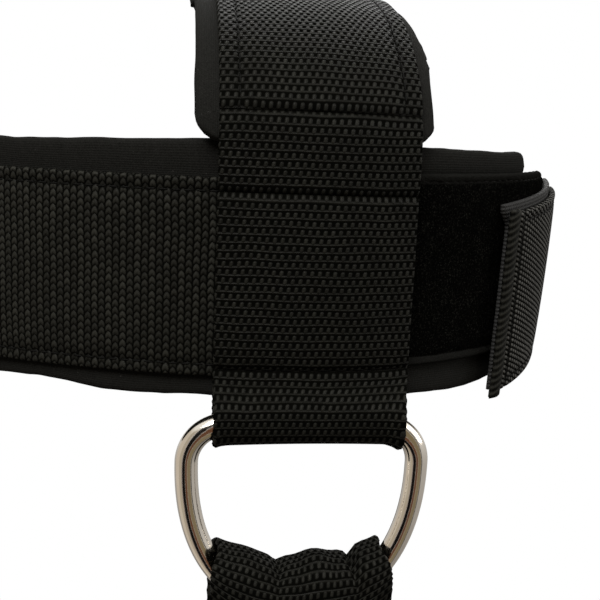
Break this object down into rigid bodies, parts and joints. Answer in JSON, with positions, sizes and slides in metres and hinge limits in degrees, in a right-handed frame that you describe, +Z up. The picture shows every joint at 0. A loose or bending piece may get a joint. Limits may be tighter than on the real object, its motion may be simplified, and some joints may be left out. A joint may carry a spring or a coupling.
{
  "type": "neck harness",
  "caption": "Strength-training neck harness: padded head band with a hook and loop tab, padded crown strap, and a D-ring, load strap and load ring on each side.",
  "frame": {"origin": "where the crown of the head bears on the underside of the crown pad", "axes": "+Z up, +X towards the back of the head, where the band closes, and -Y towards the wearer's left"},
  "size_m": [0.2151, 0.1892, 0.3133],
  "materials": {
    "neoprene": "knit-faced foam rubber, matt",
    "nylon_webbing": "heavy woven nylon, slight sheen",
    "loop_pile": "brushed loop pile, matt",
    "hook_tape": "moulded hook tape",
    "nickel_plated_steel": "bright nickel plate on welded steel wire"
  },
  "bodies": {
    "harness": {"band_pad": "neoprene", "band_webbing": "nylon_webbing", "loop_strip": "loop_pile", "crown_pad": "neoprene", "crown_strap": "nylon_webbing"},
    "closure_tab": {"tab_webbing": "nylon_webbing", "tab_hook_strip": "hook_tape"},
    "side_ring_left": {"side_ring_left": "nickel_plated_steel"},
    "load_strap_left": {"load_strap_left": "nylon_webbing"},
    "load_ring_left": {"load_ring_left": "nickel_plated_steel"},
    "side_ring_right": {"side_ring_right": "nickel_plated_steel"},
    "load_strap_right": {"load_strap_right": "nylon_webbing"},
    "load_ring_right": {"load_ring_right": "nickel_plated_steel"}
  },
  "joints": [
    {"name": "tab_peel", "type": "hinge", "parent": "harness", "child": "closure_tab", "pos_m": [0.08102, 0.02227, -0.0723], "axis": [0, 0, 1], "range_deg": [0, 75]},
    {"name": "ring_swing_left", "type": "hinge", "parent": "harness", "child": "side_ring_left", "pos_m": [0, -0.08535, -0.1093], "axis": [-1, 0, 0], "range_deg": [-12, 110]},
    {"name": "strap_swing_left", "type": "hinge", "parent": "side_ring_left", "child": "load_strap_left", "pos_m": [0, -0.08535, -0.1528], "axis": [-1, 0, 0], "range_deg": [-8, 30]},
    {"name": "load_ring_swing_left", "type": "hinge", "parent": "load_strap_left", "child": "load_ring_left", "pos_m": [0, -0.08535, -0.2543], "axis": [-1, 0, 0], "range_deg": [-30, 90]},
    {"name": "ring_swing_right", "type": "hinge", "parent": "harness", "child": "side_ring_right", "pos_m": [0, 0.08535, -0.1093], "axis": [1, 0, 0], "range_deg": [-12, 110]},
    {"name": "strap_swing_right", "type": "hinge", "parent": "side_ring_right", "child": "load_strap_right", "pos_m": [0, 0.08535, -0.1528], "axis": [1, 0, 0], "range_deg": [-8, 30]},
    {"name": "load_ring_swing_right", "type": "hinge", "parent": "load_strap_right", "child": "load_ring_right", "pos_m": [0, 0.08535, -0.2543], "axis": [1, 0, 0], "range_deg": [-30, 90]}
  ]
}
